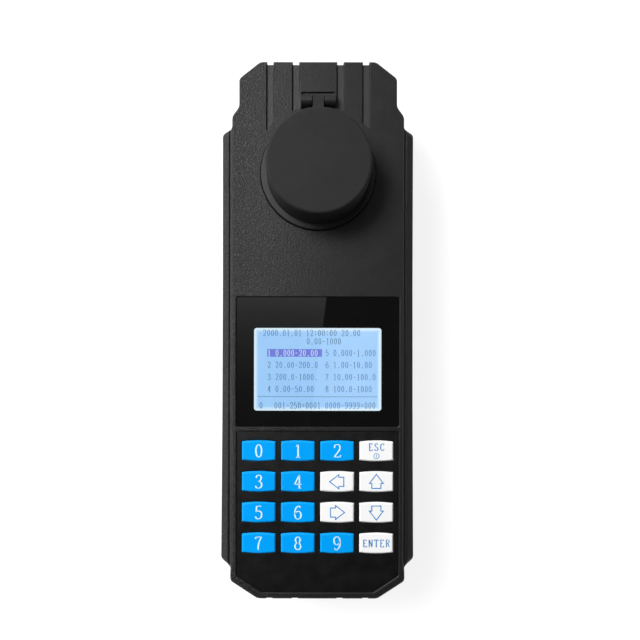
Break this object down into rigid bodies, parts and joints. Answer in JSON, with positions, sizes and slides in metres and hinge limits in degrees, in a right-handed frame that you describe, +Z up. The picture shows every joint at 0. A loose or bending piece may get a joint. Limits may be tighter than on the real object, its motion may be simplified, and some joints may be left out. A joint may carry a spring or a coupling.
{
  "type": "portable turbidity meter",
  "caption": "Handheld turbidity meter: long charcoal case with a hinged round cap over the sample cell well, a backlit display panel and a grid keypad of blue and white keys.",
  "frame": {"origin": "centre of the bounding box on the plane the rubber feet rest on, with the meter lying on its back", "axes": "+Z up out of the display face, +Y toward the head with the cell cap, +X to the right as the keypad is read"},
  "size_m": [0.0862, 0.2366, 0.0678],
  "materials": {
    "shell_plastic": "fine moulded grain, charcoal grey",
    "collar_plastic": "smooth satin charcoal",
    "cap_plastic": "smooth matte charcoal",
    "holder_plastic": "matte black, light absorbing",
    "liner_foam": "black closed-cell foam",
    "gasket_rubber": "matte black",
    "foot_rubber": "matte black",
    "seal_rubber": "matte black",
    "screw_steel": "zinc-plated",
    "pin_steel": "blackened ground steel",
    "lamp_resin": "tinted clear resin",
    "detector_resin": "dark infrared-pass resin",
    "board_laminate": "green solder mask",
    "window_panel": "gloss, black printed border",
    "bezel_steel": "black-plated sheet",
    "lcd_face": "lit pale blue display",
    "backlight_plastic": "milky diffuser",
    "spacer_brass": "turned, plain",
    "keypad_plastic": "satin black panel",
    "key_blue": "bright blue, satin",
    "key_white": "white, satin",
    "switch_plastic": "black",
    "chip_resin": "moulded black resin",
    "capacitor_can": "drawn can",
    "connector_plastic": "natural nylon",
    "buzzer_plastic": "black",
    "cell_jacket": "plain wrapped can",
    "contact_nickel": "nickel-plated strip"
  },
  "bodies": {
    "body": {"front_shell": "shell_plastic", "rear_shell": "shell_plastic", "seam_gasket": "gasket_rubber", "rubber_feet": "foot_rubber", "case_screws": "screw_steel", "cell_holder": "holder_plastic", "holder_screws": "screw_steel", "cell_collar": "collar_plastic", "cell_seal_ring": "seal_rubber", "hinge_pin": "pin_steel", "infrared_led": "lamp_resin", "led_board": "board_laminate", "through_detector": "detector_resin", "through_detector_board": "board_laminate", "side_detector": "detector_resin", "side_detector_board": "board_laminate", "display_window": "window_panel", "lcd_bezel": "bezel_steel", "lcd_glass": "lcd_face", "lcd_backlight": "backlight_plastic", "lcd_board": "board_laminate", "lcd_spacers": "spacer_brass", "keypad_panel": "keypad_plastic", "key_switches": "switch_plastic", "main_board": "board_laminate", "board_screws": "screw_steel", "board_chips": "chip_resin", "board_capacitors": "capacitor_can", "board_connectors": "connector_plastic", "buzzer": "buzzer_plastic", "battery_cells": "cell_jacket", "contact_plates": "contact_nickel", "contact_springs": "contact_nickel"},
    "button_0": {"key_0": "key_blue"},
    "button_1": {"key_1": "key_blue"},
    "button_2": {"key_2": "key_blue"},
    "button_3": {"key_3": "key_blue"},
    "button_4": {"key_4": "key_blue"},
    "button_5": {"key_5": "key_blue"},
    "button_6": {"key_6": "key_blue"},
    "button_7": {"key_7": "key_blue"},
    "button_8": {"key_8": "key_blue"},
    "button_9": {"key_9": "key_blue"},
    "button_esc": {"key_esc": "key_white"},
    "button_left": {"key_left": "key_white"},
    "button_up": {"key_up": "key_white"},
    "button_right": {"key_right": "key_white"},
    "button_down": {"key_down": "key_white"},
    "button_enter": {"key_enter": "key_white"},
    "cap": {"cell_cap": "cap_plastic", "cap_liner": "liner_foam"},
    "door": {"battery_door": "shell_plastic"}
  },
  "joints": [
    {"name": "cap_hinge", "type": "hinge", "parent": "body", "child": "cap", "pos_m": [0, 0.1005, 0.048], "axis": [-1, 0, 0], "range_deg": [0, 108]},
    {"name": "door_slide", "type": "slide", "parent": "body", "child": "door", "axis": [0, -1, 0], "range_m": [0, 0.08]},
    {"name": "press_0", "type": "slide", "parent": "body", "child": "button_0", "axis": [0, 0, -1], "range_m": [0, 0.0006], "stiffness_N_per_m": 400, "springref_m": -0.0005},
    {"name": "press_1", "type": "slide", "parent": "body", "child": "button_1", "axis": [0, 0, -1], "range_m": [0, 0.0006], "stiffness_N_per_m": 400, "springref_m": -0.0005},
    {"name": "press_2", "type": "slide", "parent": "body", "child": "button_2", "axis": [0, 0, -1], "range_m": [0, 0.0006], "stiffness_N_per_m": 400, "springref_m": -0.0005},
    {"name": "press_3", "type": "slide", "parent": "body", "child": "button_3", "axis": [0, 0, -1], "range_m": [0, 0.0006], "stiffness_N_per_m": 400, "springref_m": -0.0005},
    {"name": "press_4", "type": "slide", "parent": "body", "child": "button_4", "axis": [0, 0, -1], "range_m": [0, 0.0006], "stiffness_N_per_m": 400, "springref_m": -0.0005},
    {"name": "press_5", "type": "slide", "parent": "body", "child": "button_5", "axis": [0, 0, -1], "range_m": [0, 0.0006], "stiffness_N_per_m": 400, "springref_m": -0.0005},
    {"name": "press_6", "type": "slide", "parent": "body", "child": "button_6", "axis": [0, 0, -1], "range_m": [0, 0.0006], "stiffness_N_per_m": 400, "springref_m": -0.0005},
    {"name": "press_7", "type": "slide", "parent": "body", "child": "button_7", "axis": [0, 0, -1], "range_m": [0, 0.0006], "stiffness_N_per_m": 400, "springref_m": -0.0005},
    {"name": "press_8", "type": "slide", "parent": "body", "child": "button_8", "axis": [0, 0, -1], "range_m": [0, 0.0006], "stiffness_N_per_m": 400, "springref_m": -0.0005},
    {"name": "press_9", "type": "slide", "parent": "body", "child": "button_9", "axis": [0, 0, -1], "range_m": [0, 0.0006], "stiffness_N_per_m": 400, "springref_m": -0.0005},
    {"name": "press_esc", "type": "slide", "parent": "body", "child": "button_esc", "axis": [0, 0, -1], "range_m": [0, 0.0006], "stiffness_N_per_m": 400, "springref_m": -0.0005},
    {"name": "press_left", "type": "slide", "parent": "body", "child": "button_left", "axis": [0, 0, -1], "range_m": [0, 0.0006], "stiffness_N_per_m": 400, "springref_m": -0.0005},
    {"name": "press_up", "type": "slide", "parent": "body", "child": "button_up", "axis": [0, 0, -1], "range_m": [0, 0.0006], "stiffness_N_per_m": 400, "springref_m": -0.0005},
    {"name": "press_right", "type": "slide", "parent": "body", "child": "button_right", "axis": [0, 0, -1], "range_m": [0, 0.0006], "stiffness_N_per_m": 400, "springref_m": -0.0005},
    {"name": "press_down", "type": "slide", "parent": "body", "child": "button_down", "axis": [0, 0, -1], "range_m": [0, 0.0006], "stiffness_N_per_m": 400, "springref_m": -0.0005},
    {"name": "press_enter", "type": "slide", "parent": "body", "child": "button_enter", "axis": [0, 0, -1], "range_m": [0, 0.0006], "stiffness_N_per_m": 400, "springref_m": -0.0005}
  ]
}
